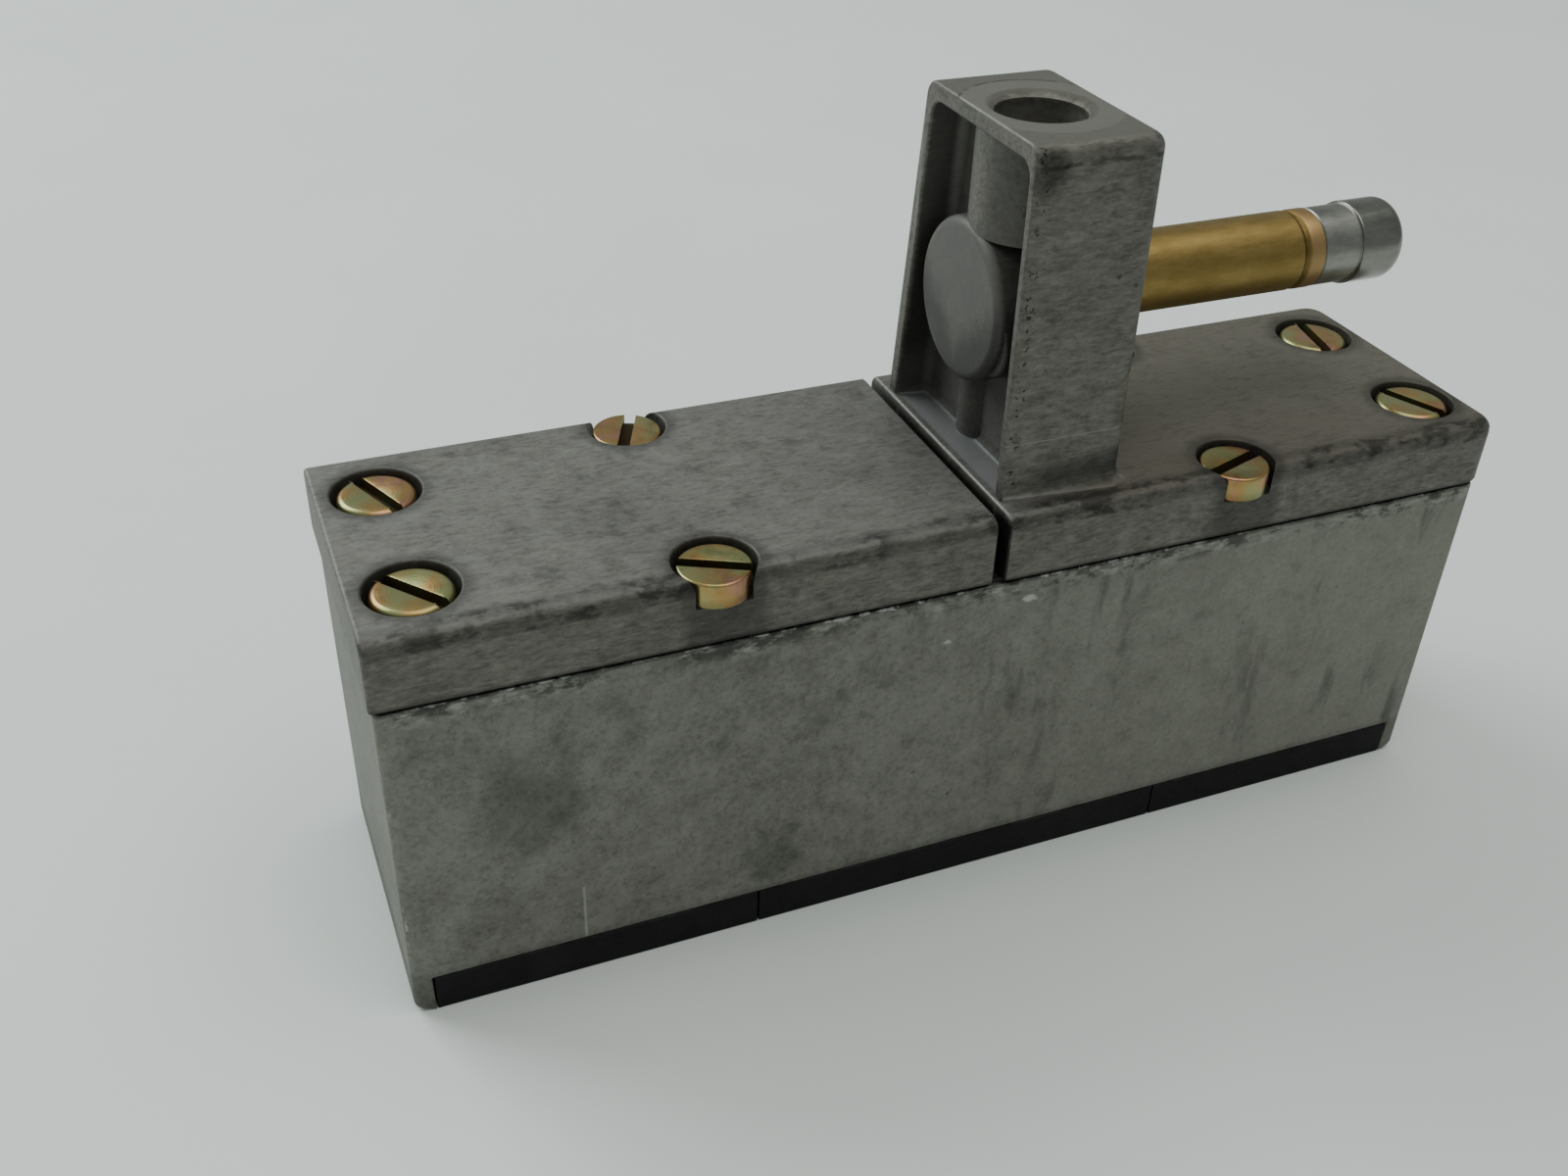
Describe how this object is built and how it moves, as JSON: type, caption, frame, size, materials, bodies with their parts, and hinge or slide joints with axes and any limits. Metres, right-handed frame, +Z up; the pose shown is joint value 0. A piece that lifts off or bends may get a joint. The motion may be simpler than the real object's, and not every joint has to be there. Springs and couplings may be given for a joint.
{
  "type": "pilot-operated pneumatic valve",
  "caption": "Narrow die-cast pneumatic valve on a ported base, with screwed-down covers and a tower that carries a bare brass armature tube.",
  "frame": {"origin": "centre of the overall box on the plane the feet stand on", "axes": "+X along the length towards the pilot tube's free end, +Y towards the back, +Z up"},
  "size_m": [0.12, 0.0334, 0.0792],
  "materials": {
    "body_casting": "dull aged die casting, cloudy, with fine pits",
    "cover_casting": "finely sanded die casting with dark grime",
    "black_pad": "matte black",
    "rubber": "matte black",
    "zinc_yellow": "yellow chromated zinc on steel",
    "tube_brass": "drawn, satin",
    "tip_steel": "turned, satin",
    "copper": "plain copper",
    "spring_steel": "drawn wire",
    "turned_brass": "turned",
    "turned_alloy": "turned"
  },
  "bodies": {
    "valve": {"valve_body": "body_casting", "cover_gasket": "rubber", "blank_cover": "cover_casting", "pilot_cover": "cover_casting", "end_screws": "zinc_yellow", "side_screws": "zinc_yellow", "left_base_pad": "black_pad", "centre_base_pad": "black_pad", "right_base_pad": "black_pad", "guide_tube": "tube_brass", "tube_o_ring": "rubber", "pole_piece": "tip_steel", "shading_ring": "copper", "armature_spring": "spring_steel", "pilot_nozzle": "turned_brass", "left_return_spring": "spring_steel", "left_seat_rings": "turned_brass", "left_spacer_sleeves": "turned_brass", "left_stem_guide": "turned_brass", "left_stem_seal": "rubber", "right_return_spring": "spring_steel", "right_seat_rings": "turned_brass", "right_spacer_sleeves": "turned_brass", "right_stem_guide": "turned_brass", "right_stem_seal": "rubber"},
    "armature": {"armature": "tip_steel", "armature_seal": "rubber"},
    "left_valve": {"left_piston": "turned_alloy", "left_piston_seal": "rubber", "left_valve_stem": "tip_steel", "left_poppet": "rubber"},
    "right_valve": {"right_piston": "turned_alloy", "right_piston_seal": "rubber", "right_valve_stem": "tip_steel", "right_poppet": "rubber"}
  },
  "joints": [
    {"name": "armature_slide", "type": "slide", "parent": "valve", "child": "armature", "axis": [1, 0, 0], "range_m": [0, 0.0014], "stiffness_N_per_m": 300, "springref_m": -0.003, "deforming": ["armature_spring"]},
    {"name": "right_valve_slide", "type": "slide", "parent": "valve", "child": "right_valve", "axis": [0, 0, -1], "range_m": [0, 0.0022], "stiffness_N_per_m": 1500, "springref_m": -0.003, "deforming": ["right_return_spring"]},
    {"name": "left_valve_slide", "type": "slide", "parent": "valve", "child": "left_valve", "axis": [0, 0, -1], "range_m": [0, 0.0022], "stiffness_N_per_m": 1500, "springref_m": -0.003, "deforming": ["left_return_spring"]}
  ],
  "couplings": [
    {"joint": "left_valve_slide", "follows": "right_valve_slide", "ratio": 1}
  ]
}
